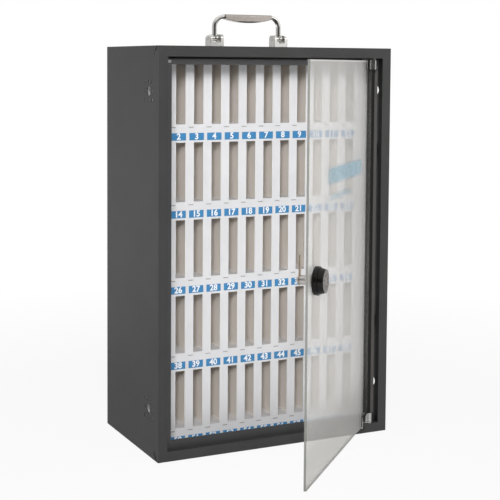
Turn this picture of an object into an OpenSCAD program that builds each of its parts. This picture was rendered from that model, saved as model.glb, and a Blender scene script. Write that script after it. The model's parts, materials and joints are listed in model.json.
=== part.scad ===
// Cell phone locker box: a sheet steel cabinet with a rack of sixty upright slots, a clear glass
// door on pivots, a dial lock and a folding carrying handle.
// Units are millimetres. X runs to the right, Y runs from the front to the back, Z is up.
// The origin is the centre of the cabinet's bottom face.

/* [Cabinet] */
// Width of the cabinet
cab_w = 398; // [360:2:440]
// Height of the cabinet
cab_h = 620; // [540:2:700]
// Depth of the cabinet
cab_d = 225; // [200:1:260]
// Thickness of the sheet steel
sheet = 1.2; // [1:0.1:1.5]
// Width of the front frame at the sides
frame_side = 15; // [13:0.5:17]
// Height of the front frame at the top
frame_top = 16; // [14:0.5:18]
// Height of the front frame at the bottom
frame_bottom = 15; // [14:0.5:17]
// Depth of the front frame with its inward fold
frame_depth = 10; // [9:0.5:11]

/* [Side holes] */
// Distance of the hole clusters from the front face
vent_back = 40; // [38:0.5:46]
// Height of the lower cluster
vent_low = 73; // [50:1:100]
// Distance of the upper cluster from the cabinet's top
vent_down = 67; // [50:1:100]
// Radius of the middle hole
vent_r = 7; // [5:0.5:8]
// Radius of the small holes
vent_small_r = 2.5; // [1.5:0.25:3]
// Spacing of the holes in a cluster
vent_pitch = 13.5; // [12:0.5:15]

/* [Wall fixing] */
// Radius of the fixing holes in the back panel
wall_hole_r = 4; // [3:0.5:5]
// Sideways spacing of the fixing holes
wall_span_x = 300; // [260:10:320]
// Upright spacing of the fixing holes
wall_span_z = 480; // [400:10:520]

/* [Rack] */
// Openings in a row
columns = 12; // [9:1:12]
// Distance from the cabinet's side to the outermost opening's share of the width
side_room = 19; // [17:0.5:22]
// Width of an opening
slot_w = 15.6; // [12:0.2:16.6]
// Height of the rail under a row
band_h = 28; // [26:0.5:32]
// Distance from an evenly spaced top row's openings to the cabinet's top
top_room = 31.5; // [31:0.5:36]
// Rise of the top shelf above the even spacing
top_shelf_rise = 2; // [0:0.5:3]
// Extra height of the top row's openings
top_row_more = 6; // [3:0.5:7]
// Height of the lowest shelf
first_shelf = 26.5; // [24:0.5:28]
// Distance of the rack's face from the cabinet's front face
rack_back_from_front = 69; // [60:1:75]
// Depth of a pocket
pocket_d = 112; // [90:1:120]
// Thickness of the rack's white sheet
rack_t = 0.8; // [0.7:0.1:1.2]
// Gap between two number labels
label_gap = 5.6; // [4:0.2:8]
// Height of a number label
label_h = 11.4; // [8:0.2:12]
// Sideways offset of the labels from the openings
label_shift = -3.4; // [-5:0.2:0]

/* [Door] */
// Angle at which the door stands open
door_open = 45; // [0:1:110]
// Thickness of the glass
glass_t = 4; // [3.5:0.25:4.5]
// Gap between the glass and the front frame
door_gap = 2.5; // [2.3:0.1:3]
// Distance of the pivot axis from the right side of the front opening
pivot_in = 13.5; // [12:0.5:16]
// Distance of the pivot axis behind the front face
pivot_back = 4.5; // [4:0.25:5]
// Length of a pivot clip
clip_len = 38; // [30:1:45]
// Height of a clip's cheeks on the glass
clip_grip = 14; // [10:0.5:18]
// Radius of the pivot pins
pin_r = 2.25; // [2:0.05:2.4]
// Part of the door's width that its label covers
door_label_share = 0.6; // [0.3:0.05:0.65]
// Height of the door's label
door_label_h = 28; // [20:1:35]

/* [Door stop] */
// Width of the part of the stop strips that shows inside the front frame
stop_show = 11.7; // [10:0.1:14]
// Thickness of the stop strips
stop_t = 1.2; // [1:0.1:2]
// Radius of the door pad
pad_r = 2.5; // [2:0.25:4.5]

/* [Lock] */
// Distance of the lock from the door's free edge
lock_in = 33; // [30:1:50]
// Height of the lock
lock_z = 300; // [260:1:340]
// Radius of the lock's base
base_r = 20; // [18:0.5:21]
// Radius of the knob where it meets the base
knob_r = 18.5; // [17:0.25:18.5]
// Radius of the knob's face
face_r = 16; // [15:0.25:16.5]
// Distance of the knob's face from the glass
knob_out = 15.5; // [14.5:0.25:18]
// Distance of the barrel's end behind the glass
barrel_out = 17; // [14:0.5:19]
// Length of the cam from the lock's axis
cam_len = 34.5; // [34:0.5:42]

/* [Handle] */
// Distance between the middles of the two brackets
handle_span = 114; // [100:1:140]
// Distance of the handle behind the middle of the cabinet's depth
handle_back = 5; // [0:0.5:20]
// Height of the bail's bar above its pins
handle_rise = 34.5; // [30:0.5:45]
// Thickness of the bail's flat bar
bar_t = 6; // [5:0.25:6.5]
// Depth of the bail's bar from front to back
bar_d = 11; // [9:0.25:11.5]
// Centre line radius of the bail's bends
bend_r = 16; // [12:0.5:18]
// Width of a bracket
bracket_w = 23; // [21:0.5:26]
// Depth of a bracket
bracket_d = 20; // [17:0.5:26]
// Height of a bracket
bracket_h = 20.5; // [20.5:0.5:24]
// Width of the grip from front to back
grip_w = 16; // [14:0.5:18]
// Depth of the grip's belly below the middle of the bar
grip_belly = 9.5; // [7.5:0.25:10]

/* [Hidden] */
$fn = 64;
eps = 0.01;

front_y = -cab_d / 2;
in_w = cab_w - 2 * sheet;
in_h = cab_h - 2 * sheet;
open_x = cab_w / 2 - frame_side;
open_top = cab_h - frame_top;
vent_high = cab_h - vent_down;
steps = [-1, 0, 1];

seam_w = 4.5;
seam_deep = 1.5;
seam_len = 17;
seam_angle = 42;
seam_start = 6;

rack_clear = 0.2;
rack_w = in_w - 2 * rack_clear;
rack_y = rack_back_from_front;
rack_end = rack_y + pocket_d;
rows = 5;
slot_pitch = (cab_w - 2 * side_room) / columns;
row_pitch = (cab_h - top_room - first_shelf + band_h) / rows;
post_w = slot_pitch - slot_w;
array_w = columns * slot_pitch - post_w;
end_w = (rack_w - array_w) / 2;
ear_h = 12;
ear_d = 9;
seat = 0.1;
rack_high = cab_h - sheet - seat;
slit_w = 8.6;
slit_h = 1.4;
slit_drop = 4.6;
slit_off = 2.7;
hook_w = 8;
hook_h = 1;
hook_leg = 1;
hook_rise = 6;
notch_d = 1.4;
label_w = slot_pitch - label_gap;
label_t = 0.3;
label_rise = 8.9;
label_floor = 1;

axis_x = open_x - pivot_in;
door_off = 3;
glass_in = door_off + glass_t;
glass_free = axis_x + open_x - door_gap;
lock_from_pivot = glass_free - lock_in;
glass_hinge = 2;
glass_lo = frame_bottom + door_gap;
glass_drop = 1;
glass_hi = open_top - door_gap - glass_drop;
edge_cut = 0.4;
lining_t = 0.8;
cheek_t = 1.2;
clip_out = door_off - lining_t - cheek_t;
clip_in = glass_in + lining_t + cheek_t;
clip_first = 1.5;
plate_t = 1.6;
plate_gap = 0.3;
boss_r = 4;
bush_clear = 0.1;
bush_r = pivot_back - sheet - bush_clear;
bush_lip_r = pivot_back - bush_clear;
bush_play = 0.05;
bush_lip = door_gap - plate_t - plate_gap - bush_play;
bush_long = 6;
run_gap = 0.05;
pin_long = 7;
screw_r = 2;
screw_pitch = 18;
screw_out = 0.6;
door_label_t = 0.2;
door_label_w = door_label_share * glass_free;
label_place = 0.45;
door_label_mid = label_place * glass_free;
label_down = 164;
door_label_z = glass_hi - label_down;
label_two_share = 2 / 3;
label_two_w = label_two_share * door_label_w;
label_two_h = 13;
label_two_down = 31;
label_two_z = door_label_z - label_two_down;
label_two_in = 6;
label_two_mid = door_label_mid + (door_label_w - label_two_w) / 2 - label_two_in;

stop_gap = 3.5;
stop_y = pivot_back + glass_in + stop_gap;
stop_x = open_x - stop_show;
stop_over = 0.2;
stop_out = open_x + stop_over;
stop_top = open_top - stop_show;
stop_top_in = 3;
stop_top_out = open_top - stop_top_in;
stop_low_more = 1;
stop_low = frame_bottom + stop_show + stop_low_more;
stop_low_out = 8;
stop_fold = 9;
pad_t = 3.3;
pad_in = 4.7;
tie_w = 20;
tie_t = 1.5;
tie_foot = 7;
tie_run = 24;
tie_from_vent = 100;
tie_low = vent_low + tie_from_vent;
tie_high = vent_high - tie_from_vent;
tie_x = cab_w / 4;
keep_h = 30;
keep_clear = 0.2;
keep_in = 1;

gasket_t = 0.5;
gasket_r = 19;
base_top = 4.2;
base_cut = 1;
barrel_r = 6.5;
bore_r = 3.8;
spindle_r = 3.74;
lock_hole_r = 7;
barrel_lip_r = 9;
barrel_lip = 1;
barrel_end = glass_in + barrel_out;
nut_flat = 16;
nut_t = 8;
nut_start = glass_in + gasket_t;
knob_face = knob_out - door_off;
knob_gap = 0.2;
knob_start = base_top + knob_gap;
knob_hub = 9;
dial_rim = 0.8;
dial_r = face_r - dial_rim;
dial_t = 1.5;
dial_gap = 0.05;
dial_pin_r = 2;
dial_marks = 10;
mark_r = 0.9;
mark_ring = 12;
mark_deep = 0.6;
mark_turn = 36;
cam_t = 1.4;
cam_hub_r = 7.5;
cam_tip = 2.6;
cam_root = 4.6;
cam_back = barrel_end + seat + cam_t;
square_w = 5;
square_gap = 0.05;
stub_r = 2.3;
stub_long = 3.6;
cam_nut_flat = 8;
cam_nut_t = 3;

pin_up = 14.5;
pin_z = cab_h + pin_up;
hinge_r = 2.5;
floor_h = 8;
ear_t = 5;
ear_round = 7;
ear_soft = 1.5;
side_round = 6;
eye_w = 9;
eye_r = 5.2;
bar_z = pin_z + handle_rise;
grip_half = handle_span / 2 - bend_r;
grip_skin = 0.5;
grip_round = 2.5;
belly_fn = 720;
bolt_r = 2;
bolt_head_r = 4;
bolt_head = 2.4;
bolt_up = 6;
bolt_gap = 11;

// Places work drawn with Y counted from the cabinet's front face
module from_front() {
    translate([0, front_y, 0]) children();
}

// Box between two corners
module slab(low, high) {
    translate(low) cube(high - low);
}

// Height of a shelf's upper face, counted from the top row
function shelf_z(row) = first_shelf + (rows - row) * row_pitch + (row == 1 ? top_shelf_rise : 0);

// Height of the upper end of a row's openings
function slot_top(row) = row == 1 ? cab_h - top_room + top_row_more : shelf_z(row - 1) - band_h;

// Middle of an opening across the cabinet
function slot_x(column) = (column - (columns + 1) / 2) * slot_pitch;

// Diagonal corner seam on a side panel's outer face
module corner_seam(turn) {
    rotate([turn * seam_angle, 0, 0])
        translate([-seam_deep, -seam_w / 2, turn > 0 ? -seam_len : 0])
            cube([2 * seam_deep, seam_w, seam_len]);
}

// Side panel on the right, with its folded front lip
module side_panel() {
    wall = cab_w / 2;
    from_front() difference() {
        union() {
            slab([wall - sheet, sheet, sheet], [wall, cab_d, cab_h - sheet]);
            slab([open_x, 0, frame_bottom], [wall, sheet + eps, open_top]);
            slab([wall - sheet, 0, frame_bottom], [wall, sheet + eps, open_top]);
            slab([open_x, sheet, frame_bottom], [open_x + sheet, frame_depth, open_top]);
        }
        for (height = [vent_low, vent_high]) {
            translate([wall - 2 * sheet, vent_back, height]) rotate([0, 90, 0])
                cylinder(r = vent_r, h = 3 * sheet);
            for (a = steps) for (b = steps) if (a != 0 || b != 0)
                translate([wall - 2 * sheet, vent_back + a * vent_pitch, height + b * vent_pitch])
                    rotate([0, 90, 0]) cylinder(r = vent_small_r, h = 3 * sheet);
        }
        translate([wall, seam_start, cab_h]) corner_seam(1);
        translate([wall, seam_start, 0]) corner_seam(-1);
    }
}

module side_right() {
    color("#4c4b4b") side_panel();
}

module side_left() {
    color("#4c4b4b") mirror([1, 0, 0]) side_panel();
}

// Hole in a front frame fold for a pivot bush
module bush_hole(height) {
    translate([axis_x, pivot_back, height - sheet]) cylinder(r = bush_r, h = 3 * sheet);
}

module top_panel() {
    color("#4a4a4a") difference() {
        from_front() difference() {
            union() {
                slab([-cab_w / 2, 0, cab_h - sheet], [cab_w / 2, cab_d, cab_h]);
                slab([-cab_w / 2, 0, open_top], [cab_w / 2, sheet, cab_h]);
                slab([-in_w / 2, 0, open_top], [in_w / 2, frame_depth, open_top + sheet]);
            }
            bush_hole(open_top);
        }
        for (side = [-1, 1]) for (y = [-1, 1])
            translate([side * handle_span / 2, handle_back + y * bolt_gap / 2, cab_h - 2 * sheet])
                cylinder(r = bolt_r, h = 3 * sheet);
    }
}

module bottom_panel() {
    color("#444444") from_front() difference() {
        union() {
            slab([-cab_w / 2, 0, 0], [cab_w / 2, cab_d, sheet]);
            slab([-cab_w / 2, 0, 0], [cab_w / 2, sheet, frame_bottom]);
            slab([-in_w / 2, 0, frame_bottom - sheet], [in_w / 2, frame_depth, frame_bottom]);
        }
        bush_hole(frame_bottom - sheet);
    }
}

module back_panel() {
    color("#474747") from_front() difference() {
        slab([-in_w / 2, cab_d - sheet, sheet], [in_w / 2, cab_d, cab_h - sheet]);
        for (x = [-1, 1]) for (z = [-1, 1])
            translate([x * wall_span_x / 2, cab_d - 2 * sheet, cab_h / 2 + z * wall_span_z / 2])
                rotate([-90, 0, 0]) cylinder(r = wall_hole_r, h = 3 * sheet);
    }
}

module stop_right() {
    color("#464647") from_front()
        slab([stop_x, stop_y, stop_low], [stop_out, stop_y + stop_t, stop_top]);
}

module stop_left() {
    color("#464647") from_front()
        slab([-stop_out, stop_y, stop_low], [-stop_x, stop_y + stop_t, stop_top]);
}

// Upper stop strip, folded back and then up to the cabinet's top
module stop_top() {
    back = stop_y + stop_fold;
    under = stop_top_out - stop_t;
    color("#464647") from_front() {
        slab([-stop_out, stop_y, stop_top], [stop_out, stop_y + stop_t, stop_top_out]);
        slab([-stop_out, stop_y, under], [stop_out, back, stop_top_out]);
        slab([-stop_out, back - stop_t, under], [stop_out, back, cab_h - sheet]);
    }
}

module stop_bottom() {
    color("#464647") from_front()
        slab([-stop_out, stop_y, stop_low_out], [stop_out, stop_y + stop_t, stop_low]);
}

// Stepped tie: the stop strip's back is at zero height, the cabinet's wall at the given reach
module tie(reach) {
    from_stop = stop_y + stop_t;
    translate([-tie_w / 2, from_stop, 0]) {
        cube([tie_w, tie_t, tie_foot]);
        translate([0, 0, tie_foot - tie_t]) cube([tie_w, tie_run, tie_t]);
        translate([0, tie_run - tie_t, tie_foot - tie_t]) cube([tie_w, tie_t, reach - tie_foot + tie_t]);
    }
}

module stop_ties() {
    foot_x = stop_out - tie_foot;
    foot_low = stop_low_out + tie_foot;
    color("#3f3f40") from_front() {
        for (side = [0, 1]) mirror([side, 0, 0]) for (z = [tie_low, tie_high])
            translate([foot_x, 0, z]) rotate([0, 90, 0]) tie(in_w / 2 - foot_x);
        for (x = [-tie_x, tie_x]) translate([x, 0, foot_low]) mirror([0, 0, 1]) tie(foot_low - sheet);
    }
}

module door_pad() {
    color("#7c7c7c") from_front() translate([-stop_x - pad_in, stop_y, stop_top + pad_in])
        rotate([90, 0, 0]) cylinder(r = pad_r, h = pad_t);
}

module keeper() {
    reach = pivot_back + barrel_end + seat - keep_clear;
    low = lock_z - keep_h / 2;
    color("#6b6b6b") from_front()
        slab([-stop_out + seat, stop_y + stop_t, low], [-stop_x - keep_in, reach, low + keep_h]);
}

module rack_back() {
    color("#e2e2e4") from_front()
        slab([-rack_w / 2, rack_end, sheet + seat], [rack_w / 2, rack_end + rack_t, rack_high]);
}

module top_rail() {
    color("#e3e3e6") from_front()
        slab([-rack_w / 2, rack_y, slot_top(1)], [rack_w / 2, rack_y + rack_t, rack_high]);
}

// Front rail of one row, with a slit for each divider's hook
module rail(row) {
    high = shelf_z(row);
    low = max(high - band_h, sheet + seat);
    color("#e3e3e6") from_front() difference() {
        slab([-rack_w / 2, rack_y, low], [rack_w / 2, rack_y + rack_t, high]);
        for (k = [0:columns])
            translate([post_x(k) + slit_off - slit_w / 2, rack_y - rack_t, high - slit_drop - slit_h / 2])
                cube([slit_w, 3 * rack_t, slit_h]);
    }
}

module rail_1() { rail(1); }
module rail_2() { rail(2); }
module rail_3() { rail(3); }
module rail_4() { rail(4); }
module rail_5() { rail(5); }

// Middle of a divider between the openings, the first and the last being the wider end pieces
function post_x(k) = k == 0 ? slot_x(1) - slot_w / 2 - post_w / 2
    : k == columns ? slot_x(columns) + slot_w / 2 + post_w / 2 : slot_x(k) + slot_pitch / 2;

// Shelf plate of one row, notched for the hooks
module shelf(row) {
    high = shelf_z(row);
    color("#dcdcdf") from_front() difference() {
        slab([-rack_w / 2, rack_y + rack_t, high - rack_t], [rack_w / 2, rack_end, high]);
        for (k = [0:columns])
            translate([post_x(k) + slit_off - slit_w / 2, rack_y, high - 2 * rack_t])
                cube([slit_w, rack_t + notch_d, 3 * rack_t]);
    }
}

module shelf_1() { shelf(1); }
module shelf_2() { shelf(2); }
module shelf_3() { shelf(3); }
module shelf_4() { shelf(4); }
module shelf_5() { shelf(5); }

// Divider standing on a shelf: a front strip with a web behind it, an ear behind the rail above
// and a hook through the rail below
module divider(k, row) {
    high = shelf_z(row);
    top = slot_top(row);
    left = k == 0 ? -rack_w / 2 : post_x(k) - post_w / 2;
    right = k == columns ? rack_w / 2 : post_x(k) + post_w / 2;
    web = k == 0 ? left : k == columns ? right - rack_t : post_x(k) - rack_t / 2;
    hook_x = post_x(k) + slit_off - hook_w / 2;
    behind = rack_y + rack_t + seat;
    leg_y = behind + hook_leg;
    tab_z = high - slit_drop - hook_h / 2;
    slab([left, rack_y, high], [right, rack_y + rack_t, top]);
    slab([web, rack_y, high], [web + rack_t, rack_end - seat, top]);
    slab([web, behind, high], [web + rack_t, behind + ear_d, top + ear_h]);
    slab([hook_x, rack_y, high], [hook_x + hook_w, leg_y, high + hook_rise]);
    slab([hook_x, behind, tab_z], [hook_x + hook_w, leg_y, high + hook_rise]);
    slab([hook_x, rack_y + seat, tab_z], [hook_x + hook_w, leg_y, tab_z + hook_h]);
}

module dividers(row) {
    color("#e3e3e6") from_front() for (k = [0:columns]) divider(k, row);
}

module dividers_1() { dividers(1); }
module dividers_2() { dividers(2); }
module dividers_3() { dividers(3); }
module dividers_4() { dividers(4); }
module dividers_5() { dividers(5); }

// Number labels of one row, on the rail below its openings
module labels(row) {
    middle = max(shelf_z(row) - band_h + label_rise, sheet + label_floor + label_h / 2);
    color("#4189bb") from_front() for (c = [1:columns])
        translate([slot_x(c) + label_shift - label_w / 2, rack_y - label_t, middle - label_h / 2])
            cube([label_w, label_t, label_h]);
}

module labels_1() { labels(1); }
module labels_2() { labels(2); }
module labels_3() { labels(3); }
module labels_4() { labels(4); }
module labels_5() { labels(5); }

// Places work drawn for the closed door about its pivot axis, with Y counted inwards
module at_door() {
    translate([axis_x, front_y + pivot_back, 0]) rotate([0, 0, door_open]) children();
}

// Places work drawn about the lock's axis, with Z pointing out of the door and Y up
module at_lock() {
    at_door() translate([-lock_from_pivot, 0, lock_z]) rotate([90, 0, 0]) children();
}

module door_glass() {
    color("#cfd2cc", 0.35) difference() {
        at_door() translate([0, 0, glass_lo]) linear_extrude(height = glass_hi - glass_lo)
            polygon([[-glass_free, door_off + edge_cut], [-glass_free + edge_cut, door_off],
                [-glass_hinge - edge_cut, door_off], [-glass_hinge, door_off + edge_cut],
                [-glass_hinge, glass_in - edge_cut], [-glass_hinge - edge_cut, glass_in],
                [-glass_free + edge_cut, glass_in], [-glass_free, glass_in - edge_cut]]);
        at_lock() translate([0, 0, -2 * glass_in]) cylinder(r = lock_hole_r, h = 2 * glass_in);
    }
}

// Upper pivot clip drawn above a glass edge at zero height, its plate on top
module clip() {
    room = clip_in - clip_out - 2 * cheek_t;
    difference() {
        union() {
            translate([-clip_len - clip_first, clip_out, -clip_grip])
                cube([clip_len, clip_in - clip_out, clip_grip + plate_gap + plate_t]);
            translate([0, 0, -clip_grip]) cylinder(r = boss_r, h = clip_grip + plate_gap + plate_t);
            translate([-boss_r - clip_first, -boss_r, plate_gap])
                cube([boss_r + clip_first, 2 * boss_r, plate_t]);
        }
        translate([-clip_len - 2 * clip_first, clip_out + cheek_t, -2 * clip_grip])
            cube([clip_len + 3 * clip_first, room, 2 * clip_grip + plate_gap]);
        for (k = [-1, 1])
            translate([clip_mid() + k * screw_pitch / 2, clip_in - 2 * cheek_t, -clip_grip / 2])
                rotate([-90, 0, 0]) cylinder(r = screw_r + run_gap, h = 3 * cheek_t);
        translate([0, 0, -plate_t]) cylinder(r = pin_r, h = 4 * plate_t);
    }
}

function clip_mid() = -clip_first - clip_len / 2;

module clip_top() {
    color("#d0d0d0") at_door() translate([0, 0, glass_hi]) clip();
}

module clip_bottom() {
    color("#d0d0d0") at_door() translate([0, 0, glass_lo]) mirror([0, 0, 1]) clip();
}

// Places two copies of clip work, one at each end of the glass
module at_clips() {
    at_door() {
        translate([0, 0, glass_hi]) children();
        translate([0, 0, glass_lo]) mirror([0, 0, 1]) children();
    }
}

module clip_linings() {
    color("#2a2a2a") at_clips() for (y = [door_off - lining_t, glass_in])
        translate([-clip_len - clip_first, y, -clip_grip])
            cube([clip_len - glass_hinge, lining_t, clip_grip]);
}

module clip_screws() {
    color("#bdbdbd") at_clips() for (k = [-1, 1])
        translate([clip_mid() + k * screw_pitch / 2, glass_in + lining_t, -clip_grip / 2])
            rotate([-90, 0, 0]) difference() {
                cylinder(r = screw_r, h = cheek_t + screw_out);
                translate([0, 0, screw_out]) cylinder(r = screw_r / 2, h = 2 * cheek_t, $fn = 6);
            }
}

module pivot_pins() {
    color("#c8c8c8") at_clips() translate([0, 0, plate_gap]) cylinder(r = pin_r, h = plate_t + pin_long);
}

// Flanged bush drawn with its lip below zero height
module bush() {
    difference() {
        union() {
            translate([0, 0, -bush_lip]) cylinder(r = bush_lip_r, h = bush_lip);
            cylinder(r = bush_r, h = bush_long);
        }
        translate([0, 0, -2 * bush_lip]) cylinder(r = pin_r + run_gap, h = 2 * bush_long);
    }
}

module pivot_bushes() {
    color("#2b2b2b") from_front() translate([axis_x, pivot_back, 0]) {
        translate([0, 0, open_top]) bush();
        translate([0, 0, frame_bottom]) mirror([0, 0, 1]) bush();
    }
}

// One film on the outside of the glass, its middle at the given distance and height
module film(along, high, size) {
    translate([-along - size[0] / 2, door_off - door_label_t, high - size[1] / 2])
        cube([size[0], door_label_t, size[1]]);
}

module door_label() {
    color("#a9bccb") at_door() {
        film(door_label_mid, door_label_z, [door_label_w, door_label_h]);
        film(label_two_mid, label_two_z, [label_two_w, label_two_h]);
    }
}

// Turned solid with steps given as [radius, start, end]
module stepped(parts) {
    for (p = parts) translate([0, 0, p[1]]) cylinder(r = p[0], h = p[2] - p[1]);
}

module lock_base() {
    low = gasket_t - door_off;
    rim = base_top - base_cut;
    color("#1a1817") at_lock() difference() {
        union() {
            translate([0, 0, low]) cylinder(r = base_r, h = rim - low);
            translate([0, 0, rim]) cylinder(r1 = base_r, r2 = base_r - base_cut, h = base_cut);
        }
        translate([0, 0, -door_off]) cylinder(r = barrel_r, h = 3 * base_top);
    }
}

module lock_barrel() {
    color("#b9b9b9") at_lock() difference() {
        stepped([[barrel_r, -barrel_end, base_top], [barrel_lip_r, base_top, base_top + barrel_lip]]);
        translate([0, 0, -2 * barrel_end]) cylinder(r = bore_r, h = 3 * barrel_end);
    }
}

module lock_gaskets() {
    color("#242424") at_lock() for (z = [-door_off, -glass_in - gasket_t])
        translate([0, 0, z]) difference() {
            cylinder(r = z == -door_off ? gasket_r : nut_flat / 2, h = gasket_t);
            translate([0, 0, -gasket_t]) cylinder(r = barrel_r, h = 3 * gasket_t);
        }
}

// Hexagonal nut with a round hole, from zero height up
module hex_nut(flat, thick, hole) {
    difference() {
        cylinder(r = flat / sqrt(3), h = thick, $fn = 6);
        translate([0, 0, -thick]) cylinder(r = hole, h = 3 * thick);
    }
}

module lock_nut() {
    color("#b4b4b4") at_lock() translate([0, 0, -nut_start - nut_t]) hex_nut(nut_flat, nut_t, barrel_r);
}

module lock_knob() {
    color("#1c1a19") at_lock() difference() {
        translate([0, 0, knob_start]) cylinder(r1 = knob_r, r2 = face_r, h = knob_face - knob_start);
        cylinder(r = barrel_lip_r + seat, h = base_top + barrel_lip + seat);
        cylinder(r = spindle_r, h = knob_hub);
        cylinder(r = dial_pin_r + dial_gap, h = knob_face);
        translate([0, 0, knob_face - dial_t]) cylinder(r = dial_r + dial_gap, h = 2 * dial_t);
    }
}

module lock_dial() {
    dial_low = knob_face - dial_t + dial_gap;
    color("#7b7672") at_lock() difference() {
        stepped([[dial_pin_r, knob_hub, dial_low], [dial_r, dial_low, knob_face]]);
        for (k = [1:dial_marks]) rotate([0, 0, k * mark_turn])
            translate([0, mark_ring, knob_face - mark_deep]) cylinder(r = mark_r, h = 2 * mark_deep);
    }
}

module lock_spindle() {
    color("#a8a8a8") at_lock() {
        translate([0, 0, -barrel_end - seat]) cylinder(r = spindle_r, h = barrel_end + seat + knob_hub);
        translate([-square_w / 2, -square_w / 2, -cam_back]) cube([square_w, square_w, cam_t + seat]);
        translate([0, 0, -cam_back - stub_long]) cylinder(r = stub_r, h = stub_long + seat);
    }
}

module cam() {
    hole = square_w + 2 * square_gap;
    reach = cam_len - cam_tip;
    color("#b49a80") at_lock() translate([0, 0, -cam_back]) difference() {
        union() {
            cylinder(r = cam_hub_r, h = cam_t);
            linear_extrude(height = cam_t)
                polygon([[-cam_root, 0], [cam_root, 0], [cam_tip, reach], [-cam_tip, reach]]);
            translate([0, reach, 0]) cylinder(r = cam_tip, h = cam_t);
        }
        translate([-hole / 2, -hole / 2, -cam_t]) cube([hole, hole, 3 * cam_t]);
    }
}

module cam_nut() {
    color("#b0b0b0") at_lock() translate([0, 0, -cam_back - cam_nut_t])
        hex_nut(cam_nut_flat, cam_nut_t, stub_r);
}

// Outline of the left bracket seen from the front, its outer upper corner to the left
module bracket_outline() {
    half = bracket_w / 2;
    difference() {
        union() {
            translate([-half, 0]) square([bracket_w, bracket_h - ear_round]);
            translate([-half + ear_round, 0]) square([bracket_w - ear_round - ear_soft, bracket_h]);
            square([half, bracket_h - ear_soft]);
            translate([-half + ear_round, bracket_h - ear_round]) circle(r = ear_round);
            translate([half - ear_soft, bracket_h - ear_soft]) circle(r = ear_soft);
        }
        translate([-half + ear_t, floor_h]) square([bracket_w - 2 * ear_t, bracket_h]);
    }
}

// Places the handle's parts at their depth on the cabinet
module at_handle() {
    translate([0, handle_back, 0]) children();
}

// Left bracket on the cabinet's top
module bracket() {
    reach = bracket_d / 2;
    wide = 2 * bracket_w;
    at_handle() translate([-handle_span / 2, 0, cab_h]) difference() {
        intersection() {
            rotate([90, 0, 0]) linear_extrude(height = bracket_d, center = true) bracket_outline();
            union() {
                translate([-bracket_w, -reach, 0]) cube([wide, bracket_d, bracket_h - side_round]);
                translate([-bracket_w, side_round - reach, 0])
                    cube([wide, bracket_d - 2 * side_round, bracket_h]);
                for (y = [-1, 1])
                    translate([-bracket_w, y * (reach - side_round), bracket_h - side_round])
                        rotate([0, 90, 0]) cylinder(r = side_round, h = wide);
            }
        }
        translate([-bracket_w, 0, pin_up]) rotate([0, 90, 0]) cylinder(r = hinge_r, h = wide);
        for (y = [-1, 1]) translate([0, y * bolt_gap / 2, -bolt_up])
            cylinder(r = bolt_r, h = 2 * bolt_up);
    }
}

module bracket_left() {
    color("#cdcbc9") bracket();
}

module bracket_right() {
    color("#cdcbc9") mirror([1, 0, 0]) bracket();
}

module bracket_screws() {
    under = cab_h - sheet;
    low = under - bolt_head;
    color("#a0a0a0") at_handle() for (side = [-1, 1]) for (y = [-1, 1])
        translate([side * handle_span / 2, y * bolt_gap / 2, 0])
            stepped([[bolt_head_r, low, under], [bolt_r, low, cab_h + bolt_up]]);
}

module handle_pins() {
    color("#b9b9b9") at_handle() for (side = [-1, 1])
        translate([side * handle_span / 2 - bracket_w / 2, 0, pin_z]) rotate([0, 90, 0])
            cylinder(r = hinge_r, h = bracket_w);
}

// Round-edged cross section of the bail's bar, its thickness along X
module bar_section(more) {
    square([bar_t + 2 * more, bar_d - bar_t], center = true);
    for (side = [-1, 1]) translate([0, side * (bar_d - bar_t) / 2]) circle(r = bar_t / 2 + more);
}

module handle_bail() {
    leg_x = handle_span / 2;
    color("#cfcdcb") at_handle() difference() {
        union() {
            for (side = [0, 1]) mirror([side, 0, 0]) {
                translate([leg_x, 0, pin_z]) linear_extrude(height = handle_rise - bend_r) bar_section(0);
                translate([leg_x - eye_w / 2, 0, pin_z]) rotate([0, 90, 0])
                    cylinder(r = eye_r, h = eye_w);
                translate([leg_x - bend_r, 0, bar_z - bend_r]) rotate([90, 0, 0])
                    rotate_extrude(angle = 90) translate([bend_r, 0]) bar_section(0);
            }
            translate([bend_r - leg_x, 0, bar_z]) rotate([0, 90, 0])
                linear_extrude(height = handle_span - 2 * bend_r) bar_section(0);
        }
        translate([-handle_span, 0, pin_z]) rotate([0, 90, 0])
            cylinder(r = hinge_r + run_gap, h = 2 * handle_span);
    }
}

module handle_grip() {
    top = bar_t / 2 + grip_skin;
    sag = grip_belly - top;
    belly_r = (grip_half * grip_half + sag * sag) / (2 * sag);
    half = grip_w / 2;
    tall = top + grip_belly;
    color("#a39c97") at_handle() translate([0, 0, bar_z]) difference() {
        intersection() {
            translate([-grip_half, 0, 0]) rotate([90, 0, 90]) linear_extrude(height = 2 * grip_half) {
                translate([-half, grip_round - grip_belly]) square([grip_w, tall - 2 * grip_round]);
                translate([grip_round - half, -grip_belly]) square([grip_w - 2 * grip_round, tall]);
                for (x = [-1, 1]) for (z = [grip_round - grip_belly, top - grip_round])
                    translate([x * (half - grip_round), z]) circle(r = grip_round);
            }
            translate([0, 0, belly_r - grip_belly]) rotate([90, 0, 0])
                cylinder(r = belly_r, h = 2 * grip_w, center = true, $fn = belly_fn);
        }
        translate([-2 * grip_half, 0, 0]) rotate([0, 90, 0])
            linear_extrude(height = 4 * grip_half) bar_section(0);
    }
}

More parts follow.
